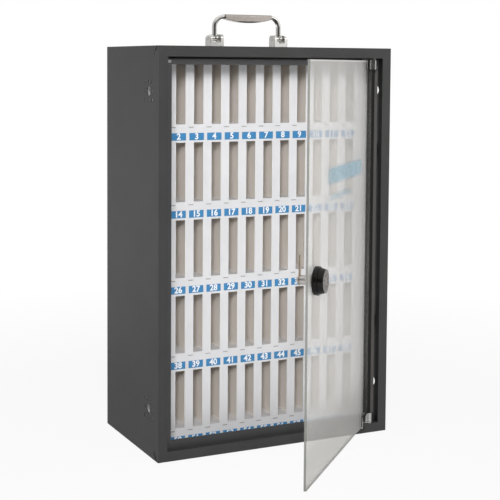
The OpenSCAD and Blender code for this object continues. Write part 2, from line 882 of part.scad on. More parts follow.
side_left();
side_right();
top_panel();
bottom_panel();
back_panel();
stop_left();
stop_right();
stop_top();
stop_bottom();
stop_ties();
door_pad();
keeper();
rack_back();
top_rail();
rail_1();
rail_2();
rail_3();
rail_4();
rail_5();
shelf_1();
shelf_2();
shelf_3();
shelf_4();
shelf_5();
dividers_1();
dividers_2();
dividers_3();
dividers_4();
dividers_5();
labels_1();
labels_2();
labels_3();
labels_4();
labels_5();
bracket_left();
bracket_right();
bracket_screws();
handle_pins();
pivot_bushes();
door_glass();
clip_top();
clip_bottom();
clip_linings();
clip_screws();
pivot_pins();
door_label();
lock_base();
lock_barrel();
lock_gaskets();
lock_nut();
lock_knob();
lock_dial();
lock_spindle();
cam();
cam_nut();
handle_bail();
handle_grip();
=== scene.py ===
"""Looks of a cell phone locker box: a dark sheet steel cabinet with a white rack of numbered pockets,
a clear glass door on pivots, a dial lock and a folding carrying handle. Everything is in metres, in
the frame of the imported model: the origin is the middle of the cabinet's bottom face, +Z is up, -Y is
the front."""

import functools
import json
import math

import bmesh
import bpy
from mathutils import Matrix, Vector


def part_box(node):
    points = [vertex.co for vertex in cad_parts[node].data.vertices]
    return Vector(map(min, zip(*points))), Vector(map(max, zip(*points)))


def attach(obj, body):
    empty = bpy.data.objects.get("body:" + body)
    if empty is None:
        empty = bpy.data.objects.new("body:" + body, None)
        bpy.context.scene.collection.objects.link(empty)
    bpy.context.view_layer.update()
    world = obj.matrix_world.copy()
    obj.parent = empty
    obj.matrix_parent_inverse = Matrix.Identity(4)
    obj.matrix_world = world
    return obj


bl_info = {
    "name": "Cell phone locker box",
    "version": (1, 0, 0),
    "blender": (4, 5, 0),
    "location": "View3D > Sidebar > Locker",
    "description": "Finishes, numbers and studio for a cell phone locker box",
    "category": "Object",
}

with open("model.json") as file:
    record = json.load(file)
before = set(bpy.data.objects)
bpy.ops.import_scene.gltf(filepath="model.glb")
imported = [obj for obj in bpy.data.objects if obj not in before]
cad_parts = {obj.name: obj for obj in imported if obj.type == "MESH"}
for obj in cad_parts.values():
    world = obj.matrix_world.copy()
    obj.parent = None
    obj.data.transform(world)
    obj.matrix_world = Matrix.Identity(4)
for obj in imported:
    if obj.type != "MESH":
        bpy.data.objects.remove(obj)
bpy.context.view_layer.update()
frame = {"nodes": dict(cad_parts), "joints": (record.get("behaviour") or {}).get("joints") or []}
NODES = frame["nodes"]
JOINTS = {joint["name"]: joint for joint in frame["joints"]}

MM = 0.001
ROWS = 5
DIAL_FIGURES = 10
CABINET = ("side_left", "side_right", "top_panel", "bottom_panel", "back_panel")
STOPS = ("stop_left", "stop_right", "stop_top", "stop_bottom", "stop_ties")
ROW_PARTS = [f"{kind}_{row}" for row in range(1, ROWS + 1) for kind in ("rail", "shelf", "dividers")]
RACK = ["rack_back", "top_rail"] + ROW_PARTS
ZINC = ("clip_screws", "pivot_pins", "lock_nut", "lock_spindle", "cam_nut", "lock_barrel", "keeper")
HANDLE = ("handle_bail", "bracket_left", "bracket_right", "handle_pins", "bracket_screws")

ACROSS = (1.0, 0.0, 0.0)
UP = (0.0, 0.0, 1.0)
WHITE = (1.0, 1.0, 1.0)
# The way to the bright side of the studio, behind the object and to its right.
BRIGHT_SIDE = (0.77, 0.64, 0.0)
# The lamps point at this place, near the middle of the cabinet.
LAMP_TARGET = Vector((0.0, 0.0, 0.3))
FLOOR_WIDTH = 24.0
# Noise stays mostly between these values.
NOISE_RANGE = (0.3, 0.7)
# Cosine of the turn between a flat face and its rounded edge, where the edge colour starts and is full.
EDGE_TURN = (0.99, 0.8)
# What metal and glass mirror from the front of the studio, as a share of white.
DIM_FRONT = 0.08
# Half the width of the soft border between two powder coats, and of the film's border on the glass.
SOFT_LINE = 0.5 * MM
SOFT_FILM = 2 * MM
# A face looks in a direction when its normal reaches further that way than this.
FACING = 0.9
# Edges that turn more than this are sharp, and corners of the model nearer than this are one.
SHARP_TURN = math.radians(35)
ONE_PLACE = 0.001 * MM
# Places in metres are told apart to this many digits, which is a hundredth of a millimetre.
DIGITS = 5
# Shares of ink in the two lines of the door's label, the lower line first.
LINE_INK = (0.25, 0.5)
# Figures on the dial stand at this share of its radius.
DIAL_RING = 0.56


def linear(code):
    """Linear RGB of an sRGB hex colour."""
    parts = [int(code[i : i + 2], 16) / 255 for i in (1, 3, 5)]
    return tuple(c / 12.92 if c <= 0.04045 else ((c + 0.055) / 1.055) ** 2.4 for c in parts)


def opaque(colour):
    """Colour with a full alpha, as shader sockets take it."""
    return (*colour, 1.0)


def colour_prop(name, description, code):
    """Colour property whose default is an sRGB hex colour."""
    return bpy.props.FloatVectorProperty(
        name=name, description=description, subtype="COLOR", size=3, min=0, max=1, default=linear(code)
    )


def length_prop(name, description, millimetres):
    """Length property whose default is given in millimetres."""
    return bpy.props.FloatProperty(
        name=name, description=description, unit="LENGTH", subtype="DISTANCE", default=millimetres * MM
    )


def angle_prop(name, description, degrees):
    """Angle property whose default is given in degrees."""
    return bpy.props.FloatProperty(
        name=name,
        description=description,
        unit="ROTATION",
        subtype="ANGLE",
        default=math.radians(degrees),
    )


def share_prop(name, description, share):
    """Share from 0 to 1."""
    return bpy.props.FloatProperty(
        name=name, description=description, subtype="FACTOR", min=0, max=1, default=share
    )


def power_prop(name, description, watts):
    """Power of a lamp."""
    return bpy.props.FloatProperty(name=name, description=description, unit="POWER", default=watts)


class LockerSizes(bpy.types.PropertyGroup):
    """Sizes of the details that the looks add to the cabinet."""

    # Painted light: over this width the strip at the pivots is painted paler, for the light on it.
    worn: length_prop("Painted lit strip", "Width of the painted lit part of the strip at the pivots", 5.5)
    edge: length_prop("Folded edge", "Rounding of the folded sheet edges", 0.5)
    cast_edge: length_prop("Cast edge", "Rounding of the handle's and lock's edges", 0.8)
    base_edge: length_prop("Lock base edge", "Rounding of the edges of the lock's base", 1.76)
    figure: length_prop("Label figure", "Letter size of the pocket numbers", 13.0)
    figure_weight: length_prop("Figure weight", "Thickening of the pocket numbers", 0.44)
    dial_weight: length_prop("Dial figure weight", "Thickening of the numbers on the dial", 0.2)
    dial_figure: length_prop("Dial figure", "Letter size of the numbers on the dial", 6.0)
    ink: length_prop("Ink", "Thickness of the printed figures", 0.06)
    fade: length_prop("Label fade", "Width over which the door label's print fades out", 24)
    fade_up: length_prop("Label fade upwards", "Height over which the door label's print fades out", 6)
    bare: length_prop("Bare strip", "Width of the clear strip of glass at the pivots", 38)
    # Painted dark reflection: the height over which the glass is tinted greyer at its foot.
    dusty: length_prop("Dark glass foot", "Height up to which the glass is painted greyer at its foot", 90)
    trace: length_prop("Film trace", "Width of the thin trace of film beside the clear strip", 12)


class LockerColours(bpy.types.PropertyGroup):
    """Colours of the finishes."""

    cabinet: colour_prop("Cabinet", "Powder coat of the cabinet", "#383737")
    stop: colour_prop("Door stop", "Powder coat of the stop strips", "#3f3f40")
    # Painted shade and light on the strip at the pivots: nearly black, with a paler lit outer part.
    shade: colour_prop("Strip at the pivots", "Powder coat of the strip beside the pivots", "#1d1d1d")
    worn: colour_prop("Painted lit strip", "Outer part of that strip, painted paler for the light on it", "#62605e")
    # Painted shade: the tabs are painted grey for the shade in the rails' slits.
    tabs: colour_prop("Tabs", "Grey painted as shade on the dividers' tabs in the slits", "#9c9a98")
    rack: colour_prop("Rack", "Powder coat of the rack", "#e3e3e5")
    # Painted bounce light: the pocket sides are painted paler and warmer than the rack.
    primer: colour_prop("Pocket sides", "Sides of the pockets", "#fbf4ec")
    label: colour_prop("Number labels", "Film of the number labels", "#3f87bb")
    figures: colour_prop("Figures", "Ink of the pocket numbers", "#f4f6f8")
    dial_ink: colour_prop("Dial ink", "Ink of the numbers on the dial", "#26211f")
    door_label: colour_prop("Door label", "Print of the door's label", "#bfe2f2")
    glass: colour_prop("Glass", "Tint of the door's glass", "#fefefd")
    # Painted dark reflection: the glass's tint at its foot.
    dust: colour_prop("Darker glass foot", "Tint of the glass at its foot, painted greyer as a dark reflection", "#e3e3e1")
    haze: colour_prop("Glass sheen", "Mirror tone of the door's glass", "#fbf9f7")
    veil: colour_prop("Glass veil", "Thin film that makes the glass milky", "#f6f4f1")
    glass_edge: colour_prop("Glass edge", "Ground edges of the glass", "#7d7e79")
    chrome: colour_prop("Chrome", "Pivot clips", "#d8d8d6")
    handle: colour_prop("Handle", "Satin chrome of the handle", "#e2e0dc")
    grip: colour_prop("Grip", "Handle grip", "#a8a19b")
    zinc: colour_prop("Zinc plate", "Screws, nut and barrel", "#d4d0cd")
    cam: colour_prop("Cam", "Yellow passivated cam", "#b9a692")
    knob: colour_prop("Knob", "Black plastic of the lock", "#0b0908")
    dial: colour_prop("Dial", "Face of the lock's dial", "#7c7774")
    rubber: colour_prop("Rubber", "Linings and gaskets", "#232323")
    pad: colour_prop("Door pad", "Pad that the door closes on", "#8d8d8d")
    nylon: colour_prop("Bushes", "Nylon of the pivot bushes", "#2a2a2a")
    floor: colour_prop("Floor", "Studio floor", "#f4f4f4")


class LockerGlass(bpy.types.PropertyGroup):
    """How strongly each layer of the door's glass shows."""

    mirror: share_prop("Mirror", "Mirroring where it is looked at straight on", 0.04)
    mirror_slant: share_prop("Mirror at a slant", "Mirroring where it is looked at from the side", 0.33)
    veil: share_prop("Veil", "Milky film where it is looked at straight on", 0.05)
    veil_slant: share_prop("Veil at a slant", "Milky film where it is looked at from the side", 0.23)
    trace: share_prop("Film trace", "Film in the thin trace beside the clear strip", 0.45)
    rim: share_prop("Ground edge", "Grey of the ground edges", 0.85)
    # Painted highlight: a white line along the glass's top edge.
    top_line: share_prop("Top line", "White line along the top", 0.5)
    passed: share_prop("Light let through", "Light that passes without a shadow", 0.9)


class LockerView(bpy.types.PropertyGroup):
    """Camera and light of the studio."""

    place: bpy.props.FloatVectorProperty(
        name="Camera place",
        description="Where the camera stands",
        unit="LENGTH",
        subtype="TRANSLATION",
        default=(-0.86237, -1.77402, 0.59313),
    )
    yaw: angle_prop("Yaw", "Turn of the view to the right", 26.048)
    pitch: angle_prop("Pitch", "Tilt of the view downwards", 3.806)
    roll: angle_prop("Roll", "Roll of the camera", 0.401)
    sensor: bpy.props.FloatProperty(
        name="Sensor", description="Width of the camera's sensor", unit="CAMERA", default=36
    )
    lens: bpy.props.FloatProperty(
        name="Lens", description="Focal length of the camera", unit="CAMERA", default=88.065
    )
    rise: bpy.props.FloatProperty(
        name="Lens shift", description="Upward shift of the lens", default=-0.2084
    )
    key: power_prop("Key light", "Lamp in front", 41)
    side: power_prop("Side light", "Lamp on the left", 15)
    fill: power_prop("Fill light", "Lamp on the right", 12)
    ambient: bpy.props.FloatProperty(
        name="Ambient", description="Strength of the light from all round", default=0.22
    )


def add_node(tree, kind, inputs=(), output=0, **options):
    """Adds a shader node with its options and gives one of its outputs. The inputs are given by name, or
    in the node's own order, and each takes a value or another node's output."""
    node = tree.nodes.new("ShaderNode" + kind)
    for name, value in options.items():
        setattr(node, name, value)
    for key, value in inputs.items() if isinstance(inputs, dict) else enumerate(inputs):
        if isinstance(value, bpy.types.NodeSocket):
            tree.links.new(value, node.inputs[key])
        else:
            node.inputs[key].default_value = value
    return node.outputs[output] if node.outputs else None


def per_mm(millimetres):
    """Scale of a pattern whose grains are that many millimetres across."""
    return 1 / (millimetres * MM)


def new_material(name):
    """Empty node material, add_node for its nodes, and the place on the object that its patterns are
    drawn from."""
    material = bpy.data.materials.new(name)
    material.use_nodes = True
    material.node_tree.nodes.clear()
    add = functools.partial(add_node, material.node_tree)
    return material, add, add("TexCoord", output="Object")


def tinted(add, colour, pattern, low, high):
    """Colour that a noise makes darker and lighter between two shares of its brightness."""
    value = add("MapRange", (pattern, *NOISE_RANGE, low, high))
    return add("HueSaturation", {"Color": colour, "Value": value})


def edge_rub(add, radius_mm):
    """Mask that is 1 on outer and inner edges within that radius, and 0 on flat faces."""
    rounded = add("Bevel", {"Radius": radius_mm * MM}, samples=4)
    flat = add("NewGeometry", output="Normal")
    turned = add("VectorMath", (rounded, flat), "Value", operation="DOT_PRODUCT")
    return add("MapRange", (turned, *EDGE_TURN))


def powder_coat(name, colour, grain_mm, rough_film, roughness, contrast, rub_and_highlight, worn=None):
    """Powder coat, sprayed and baked: a dry fine grain over broad faint clouds, a soft sheen, and
    edges painted paler, partly where the film runs thin and partly as a painted highlight. The grain
    is drawn coarser than the real one, so that it shows. A coat with a painted lit strip has a second,
    paler colour, painted light, to the right of a place across the cabinet."""
    material, add, place = new_material(name)
    grain = add("TexNoise", {"Vector": place, "Scale": per_mm(grain_mm), "Detail": 3})
    clouds = add("TexNoise", {"Vector": place, "Scale": per_mm(60), "Detail": 2})
    base = opaque(colour)
    # Painted light: a paler second colour to the right of the border.
    if worn:
        second, border = worn
        across = add("VectorMath", (place, ACROSS), "Value", operation="DOT_PRODUCT")
        right = add("MapRange", (across, border - SOFT_LINE, border + SOFT_LINE))
        base = add("MixRGB", (right, base, opaque(second)))
    speckled = tinted(add, base, grain, 1 - contrast, 1 + contrast)
    clouded = tinted(add, speckled, clouds, 1 - contrast / 2, 1 + contrast / 2)
    # Edges painted paler: partly thin film, partly a painted highlight.
    thin = add("HueSaturation", {"Color": clouded, "Value": 1 + rub_and_highlight})
    paint = add("MixRGB", (edge_rub(add, 0.9), clouded, thin))
    sheen = add("MapRange", (grain, *NOISE_RANGE, roughness - 0.08, roughness + 0.08))
    film = add("Bump", {"Height": grain, "Strength": rough_film, "Distance": 0.1 * MM})
    coat = add("BsdfPrincipled", {"Base Color": paint, "Roughness": sheen, "Normal": film, "IOR": 1.5})
    add("OutputMaterial", {"Surface": coat})
    return material


def rack_powder_coat(colours):
    """White powder coat on thin folded sheet, smooth, with painted bounce light: the pocket sides are
    painted paler and slightly warm, for the light that bounces between the dividers. Its orange peel
    is drawn at its real size."""
    material, add, place = new_material("White powder coated sheet")
    peel = add("TexNoise", {"Vector": place, "Scale": per_mm(1.6), "Detail": 2})
    clouds = add("TexNoise", {"Vector": place, "Scale": per_mm(45), "Detail": 2})
    # Painted bounce light: faces that look sideways, the pocket sides, take the paler warm colour.
    facing = add("NewGeometry", output="Normal")
    across = add("VectorMath", (facing, ACROSS), "Value", operation="DOT_PRODUCT")
    side = add("MapRange", (add("Math", (across,), operation="ABSOLUTE"), 0.6, 0.95))
    base = add("MixRGB", (side, opaque(colours.rack), opaque(colours.primer)))
    paint = tinted(add, base, clouds, 0.97, 1.03)
    sheen = add("MapRange", (peel, *NOISE_RANGE, 0.38, 0.5))
    film = add("Bump", {"Height": peel, "Strength": 0.15, "Distance": 0.05 * MM})
    coat = add("BsdfPrincipled", {"Base Color": paint, "Roughness": sheen, "Normal": film, "IOR": 1.5})
    add("OutputMaterial", {"Surface": coat})
    return material


def printed_film(name, colour, roughness):
    """Printed self-adhesive film: an even colour with the faint mottle of ink, and a satin face. The
    mottle is drawn coarser than the real one, so that it shows."""
    material, add, place = new_material(name)
    mottle = add("TexNoise", {"Vector": place, "Scale": per_mm(2.5), "Detail": 4})
    paint = tinted(add, opaque(colour), mottle, 0.93, 1.07)
    sheen = add("MapRange", (mottle, *NOISE_RANGE, roughness - 0.06, roughness + 0.06))
    film = add("BsdfPrincipled", {"Base Color": paint, "Roughness": sheen, "IOR": 1.46})
    add("OutputMaterial", {"Surface": film})
    return material


def places_among(values):
    """The different places among a mesh's coordinates, in order."""
    return sorted({round(value, DIGITS) for value in values})


def float_glass(colours, sizes, shares, normal):
    """Toughened float glass: clear when looked at straight on and mirror-like at a slant, milky with
    the thin film that its wrapping leaves, clear again at the pivots, painted greyer at its foot as a
    dark reflection, and with ground edges that look solid."""
    material, add, place = new_material("Toughened float glass")
    outward = Vector((normal.y, -normal.x, 0))
    hinge = min(vertex.co.dot(outward) for vertex in NODES["door_glass"].data.vertices)
    foot, top = (corner.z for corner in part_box("door_glass"))
    run = add("VectorMath", (place, outward), "Value", operation="DOT_PRODUCT")
    height = add("VectorMath", (place, UP), "Value", operation="DOT_PRODUCT")
    side = add("TexCoord", output="Normal")
    facing = add("VectorMath", (side, normal), "Value", operation="DOT_PRODUCT")
    upward = add("VectorMath", (side, UP), "Value", operation="DOT_PRODUCT")
    lean = add("LayerWeight", {"Blend": 0.5}, "Facing")
    smears = add("TexNoise", {"Vector": place, "Scale": per_mm(180), "Detail": 1})

    # Share of the mirror, which grows with the square of the slant.
    slant = add("Math", (lean, lean), operation="MULTIPLY")
    mirror = add("MapRange", (slant, 0.0, 1.0, shares.mirror, shares.mirror_slant))
    waves = add("MapRange", (smears, *NOISE_RANGE, 0.98, 1.02))
    mirror = add("Math", (mirror, waves), operation="MULTIPLY")

    # Where the film lies: a thin trace first, then the whole pane beyond the clear strip.
    wrapped = hinge + sizes.bare
    traced = wrapped - sizes.trace
    trace = add("MapRange", (run, traced - SOFT_FILM, traced + SOFT_FILM, 0.0, shares.trace))
    full = add("MapRange", (run, wrapped - SOFT_FILM, wrapped + SOFT_FILM))
    film = add("Math", (trace, full), operation="MAXIMUM")

    # Share of the ground edges, less at the clear strip and least along the foot.
    flat = add("Math", (facing,), operation="ABSOLUTE")
    rim = add("MapRange", (flat, 0.6, 0.4, 0.0, shares.rim))
    for less in ((film, 0.0, 1.0, 0.25, 1.0), (upward, -0.6, -0.4, 0.3, 1.0)):
        rim = add("Math", (rim, add("MapRange", less)), operation="MULTIPLY")

    # Share of the milky veil, on the outer face alone, with a painted highlight: a white line along the
    # top.
    slanted = add("MapRange", (lean, 0.0, 0.8, shares.veil, shares.veil_slant))
    milky = add("Math", (film, slanted), operation="MULTIPLY")
    line = add("MapRange", (height, top - 3 * MM, top - 2 * MM, 0.0, shares.top_line))
    milky = add("Math", (milky, line), operation="MAXIMUM")
    for less in ((facing, 0.4, 0.6), (smears, *NOISE_RANGE, 0.97, 1.03)):
        milky = add("Math", (milky, add("MapRange", less)), operation="MULTIPLY")

    haze = add("MapRange", (film, 0.0, 1.0, 0.03, 0.34))
    gloss = {"Base Color": opaque(colours.haze), "Metallic": 1.0, "Roughness": haze}
    veil = {"Base Color": opaque(colours.veil), "Roughness": 0.6, "IOR": 1.4}
    ground = {"Base Color": opaque(colours.glass_edge), "Roughness": 0.35, "IOR": 1.52}
    # Painted dark reflection: the tint turns greyer towards the foot of the pane.
    above_dark_foot = add("MapRange", (height, foot + sizes.dusty / 2, foot + sizes.dusty))
    tint = add("MixRGB", (above_dark_foot, opaque(colours.dust), opaque(colours.glass)))
    pane = add("BsdfTransparent", {"Color": tint})
    for share, layer in ((mirror, gloss), (milky, veil), (rim, ground)):
        pane = add("MixShader", (share, pane, add("BsdfPrincipled", layer)))

    # Most of the light passes, so that the pane throws a faint shadow.
    shadow = add("LightPath", output="Is Shadow Ray")
    passed = add("Math", (shadow, shares.passed), operation="MULTIPLY")
    pane = add("MixShader", (passed, pane, add("BsdfTransparent")))
    add("OutputMaterial", {"Surface": pane})
    return material


def door_print(colours, sizes, normal):
    """Plain print on the door's label: two lines of thin pale blue ink that fade out at their edges."""
    material, add, place = new_material("Pale printed film on the door")
    outward = Vector((normal.y, -normal.x, 0))
    run = add("VectorMath", (place, outward), "Value", operation="DOT_PRODUCT")
    height = add("VectorMath", (place, UP), "Value", operation="DOT_PRODUCT")
    corners = [vertex.co for vertex in NODES["door_label"].data.vertices]
    levels = places_among(corner.z for corner in corners)
    ink = 0.0
    for bottom, top, share in zip(levels[0::2], levels[1::2], LINE_INK):
        runs = [corner.dot(outward) for corner in corners if round(corner.z, DIGITS) == top]
        line = add("MapRange", (run, min(runs), min(runs) + sizes.fade, 0.0, share))
        for fade in (
            (run, max(runs), max(runs) - sizes.fade),
            (height, bottom, bottom + sizes.fade_up),
            (height, top, top - sizes.fade_up),
        ):
            line = add("Math", (line, add("MapRange", fade)), operation="MULTIPLY")
        ink = add("Math", (ink, line), operation="ADD")
    blots = add("TexNoise", {"Vector": place, "Scale": per_mm(14), "Detail": 3})
    ink = add("Math", (ink, add("MapRange", (blots, 0.35, 0.65, 0.8, 1.0))), operation="MULTIPLY")
    face = {"Base Color": opaque(colours.door_label), "Roughness": 0.45, "IOR": 1.46}
    label = add("MixShader", (ink, add("BsdfTransparent"), add("BsdfPrincipled", face)))
    add("OutputMaterial", {"Surface": label})
    return material


def plated_metal(name, colour, roughness, brush_mm, brushing, edge_tone=1.0, edge_mm=0.9):
    """Plated metal: reflections drawn out by fine brushing, broken by faint handling marks, and edges
    whose colour is set by a tone, which on the satin handle draws a painted dark reflection. The
    brushing is drawn coarser than the real one, so that it shows."""
    material, add, place = new_material(name)
    marks = add("TexNoise", {"Vector": place, "Scale": per_mm(7), "Detail": 4})
    drawn = add("Mapping", {"Vector": place, "Scale": (1, 1, 12)})
    brushed = add("TexNoise", {"Vector": drawn, "Scale": per_mm(brush_mm), "Detail": 2})
    plate = tinted(add, opaque(colour), marks, 0.93, 1.05)
    # Edges take this tone, which on the satin handle is a painted dark reflection.
    thin = add("HueSaturation", {"Color": plate, "Value": edge_tone})
    paint = add("MixRGB", (edge_rub(add, edge_mm), plate, thin))
    sheen = add("MapRange", (marks, *NOISE_RANGE, roughness * 0.8, roughness * 1.3))
    lines = add("Bump", {"Height": brushed, "Strength": brushing, "Distance": 0.03 * MM})
    metal = {"Base Color": paint, "Metallic": 1.0, "Roughness": sheen, "Normal": lines}
    add("OutputMaterial", {"Surface": add("BsdfPrincipled", metal)})
    return material


def moulded(name, colour, roughness, grain_mm, ior):
    """Moulded plastic or rubber, or the grey painted on the tabs as slit shade: an even colour with the
    fine grain of the mould, drawn coarser than the real one, so that it shows, and edges a little
    lighter."""
    material, add, place = new_material(name)
    wear = add("TexNoise", {"Vector": place, "Scale": per_mm(9), "Detail": 3})
    grain = add("TexNoise", {"Vector": place, "Scale": per_mm(grain_mm), "Detail": 3})
    plain = tinted(add, opaque(colour), wear, 0.88, 1.12)
    pale = add("HueSaturation", {"Color": plain, "Value": 1.5})
    paint = add("MixRGB", (edge_rub(add, 0.6), plain, pale))
    sheen = add("MapRange", (wear, *NOISE_RANGE, roughness * 0.85, roughness * 1.2))
    skin = add("Bump", {"Height": grain, "Strength": 0.2, "Distance": 0.05 * MM})
    body = add("BsdfPrincipled", {"Base Color": paint, "Roughness": sheen, "Normal": skin, "IOR": ior})
    add("OutputMaterial", {"Surface": body})
    return material


def dress(names, material):
    """Gives CAD nodes a finish."""
    for name in names:
        data = NODES[name].data
        data.materials.clear()
        data.materials.append(material)


def soften(names, width, segments=2):
    """Rounds the sharp edges of CAD nodes."""
    for name in names:
        piece = NODES[name]
        weld = piece.modifiers.new("Weld", "WELD")
        weld.merge_threshold = ONE_PLACE
        bevel = piece.modifiers.new("Rounding", "BEVEL")
        bevel.width = width
        bevel.segments = segments
        bevel.limit_method = "ANGLE"
        bevel.angle_limit = SHARP_TURN
        bevel.use_clamp_overlap = True
        normals = piece.modifiers.new("Normals", "WEIGHTED_NORMAL")
        normals.keep_sharp = True


def figures(name, marks, size, weight, depth, body, material):
    """One thin mesh with all the given figures. A mark is its text and the matrix of its place."""
    mesh = bmesh.new()
    for text, place in marks:
        curve = bpy.data.curves.new("figure", "FONT")
        curve.body = text
        curve.size = size
        curve.offset = weight
        curve.extrude = depth / 2
        curve.resolution_u = 4
        curve.align_x = "CENTER"
        curve.align_y = "CENTER"
        holder = bpy.data.objects.new("figure", curve)
        bpy.context.scene.collection.objects.link(holder)
        bpy.context.view_layer.update()
        solid = holder.evaluated_get(bpy.context.evaluated_depsgraph_get())
        shape = solid.to_mesh()
        shape.transform(place)
        mesh.from_mesh(shape)
        solid.to_mesh_clear()
        bpy.data.objects.remove(holder)
        bpy.data.curves.remove(curve)
    data = bpy.data.meshes.new(name)
    mesh.to_mesh(data)
    mesh.free()
    data.materials.append(material)
    piece = bpy.data.objects.new(name, data)
    bpy.context.scene.collection.objects.link(piece)
    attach(piece, body)


def settings():
    """The scene's sizes, colours and view."""
    scene = bpy.context.scene
    return scene.locker_sizes, scene.locker_colours, scene.locker_view


def door_normal():
    """Outward normal of the door at rest, which is the lock's axis."""
    return Vector(JOINTS["lock_turn"]["axis"]).normalized()


class LockerCabinet(bpy.types.Operator):
    """Finish the cabinet's panels and the door stop"""

    bl_idname = "locker.cabinet"
    bl_label = "Cabinet"

    def execute(self, context):
        sizes, colours, _ = settings()
        # A coarse textured powder, which looks dry and slightly speckled.
        textured = powder_coat(
            "Textured grey powder coat",
            colours.cabinet,
            grain_mm=0.9,
            rough_film=0.55,
            roughness=0.5,
            contrast=0.16,
            rub_and_highlight=0.35,
        )
        dress(CABINET, textured)
        # A smoother powder on the stop, which looks more even and brightens softly at a slant.
        smooth = {"grain_mm": 1.4, "rough_film": 0.25, "roughness": 0.45, "rub_and_highlight": 0.3}
        dress(STOPS, powder_coat("Smooth grey powder coat", colours.stop, contrast=0.08, **smooth))
        # Painted shade and light: the strip at the pivots is painted nearly black for the shade there,
        # with a paler border painted for the light on its outer part.
        worn = (colours.worn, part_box("stop_right")[1].x - sizes.worn)
        lit_and_shaded_coat = powder_coat("Grey powder coat with painted light and shade", colours.shade, contrast=0.1, worn=worn, **smooth)
        dress(["stop_right"], lit_and_shaded_coat)
        # Painted shade: the fold in front of it has the same nearly black coat without the lit border,
        # for the shade in that recess.
        shaded = powder_coat("Shaded grey powder coat", colours.shade, contrast=0.1, **smooth)
        self.dark_fold(NODES["side_right"].data, shaded)
        # The back panel stays sharp, because rounding draws lines between its holes.
        soften(CABINET[:-1], sizes.edge)
        return {"FINISHED"}

    def dark_fold(self, data, coat):
        """Gives the inner face of the front fold at the pivots the dark coat of the strip behind it, as
        painted shade in that recess.
        """
        data.materials.append(coat)
        left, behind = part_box("stop_right")[0].x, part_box("stop_right")[0].y
        for face in data.polygons:
            if face.normal.x < -FACING and face.center.x > left and face.center.y < behind:
                face.material_index = 1


class LockerRack(bpy.types.Operator):
    """Finish the rack's shelves, rails and dividers"""

    bl_idname = "locker.rack"
    bl_label = "Rack"

    def execute(self, context):
        _, colours, _ = settings()
        dress(RACK, rack_powder_coat(colours))
        # Painted shade: the tabs get a plain middle grey instead of the powder, which shows in the rails'
        # slits as their shade.
        primer = moulded("Grey tabs painted as slit shade", colours.tabs, roughness=0.5, grain_mm=0.8, ior=1.5)
        for row in range(1, ROWS + 1):
            self.prime_tabs(NODES[f"dividers_{row}"].data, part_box(f"shelf_{row}")[1].z, primer)
        return {"FINISHED"}

    def prime_tabs(self, data, shelf, primer):
        """Gives the dividers' tabs, which lie under the shelf's face, their grey of painted slit shade.
        """
        data.materials.append(primer)
        for face in data.polygons:
            if face.center.z < shelf - MM:
                face.material_index = 1


class LockerLabels(bpy.types.Operator):
    """Finish the pocket labels and print their numbers"""

    bl_idname = "locker.labels"
    bl_label = "Pocket numbers"

    def execute(self, context):
        sizes, colours, _ = settings()
        # A satin blue film, and on it an ink that is a little more matt.
        film = printed_film("Blue printed film", colours.label, roughness=0.42)
        ink = printed_film("White ink", colours.figures, roughness=0.5)
        upright = Matrix.Rotation(math.pi / 2, 4, "X")
        for row in range(1, ROWS + 1):
            node = f"labels_{row}"
            dress([node], film)
            columns = self.middles(node)
            low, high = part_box(node)
            marks = []
            for column, x in enumerate(columns):
                number = (row - 1) * len(columns) + column + 1
                place = Matrix.Translation((x, low.y - sizes.ink / 2, (low.z + high.z) / 2))
                marks.append((str(number), place @ upright))
            figures(f"numbers_{row}", marks, sizes.figure, sizes.figure_weight, sizes.ink, "cabinet", ink)
        return {"FINISHED"}

    def middles(self, node):
        """Middles of the labels across, from the separate boxes in the node's mesh."""
        places = places_among(vertex.co.x for vertex in NODES[node].data.vertices)
        return [(left + right) / 2 for left, right in zip(places[0::2], places[1::2])]


class LockerDoor(bpy.types.Operator):
    """Finish the glass door with its label"""

    bl_idname = "locker.door"
    bl_label = "Glass door"

    def execute(self, context):
        sizes, colours, _ = settings()
        normal = door_normal()
        dress(["door_glass"], float_glass(colours, sizes, context.scene.locker_glass, normal))
        dress(["door_label"], door_print(colours, sizes, normal))
        return {"FINISHED"}


class LockerPivots(bpy.types.Operator):
    """Finish the door's clips, linings and bushes, and the pad it closes on"""

    bl_idname = "locker.pivots"
    bl_label = "Pivots and pad"

    def execute(self, context):
        sizes, colours, _ = settings()
        # Polished chrome, which mirrors the studio almost sharply.
        chrome = plated_metal(
            "Polished chrome plate", colours.chrome, roughness=0.12, brush_mm=0.8, brushing=0.05
        )
        dress(["clip_top", "clip_bottom"], chrome)
        # Moulded rubber and nylon, which are matt and even.
        rubber = moulded("Black rubber", colours.rubber, roughness=0.7, grain_mm=0.8, ior=1.5)
        dress(["clip_linings", "lock_gaskets"], rubber)
        pad = moulded("Grey rubber", colours.pad, roughness=0.6, grain_mm=0.9, ior=1.5)
        dress(["door_pad"], pad)
        nylon = moulded("Black nylon", colours.nylon, roughness=0.5, grain_mm=1.2, ior=1.53)
        dress(["pivot_bushes"], nylon)
        soften(["clip_top", "clip_bottom"], sizes.edge, segments=3)
        soften(["door_pad"], sizes.cast_edge, segments=3)
        return {"FINISHED"}


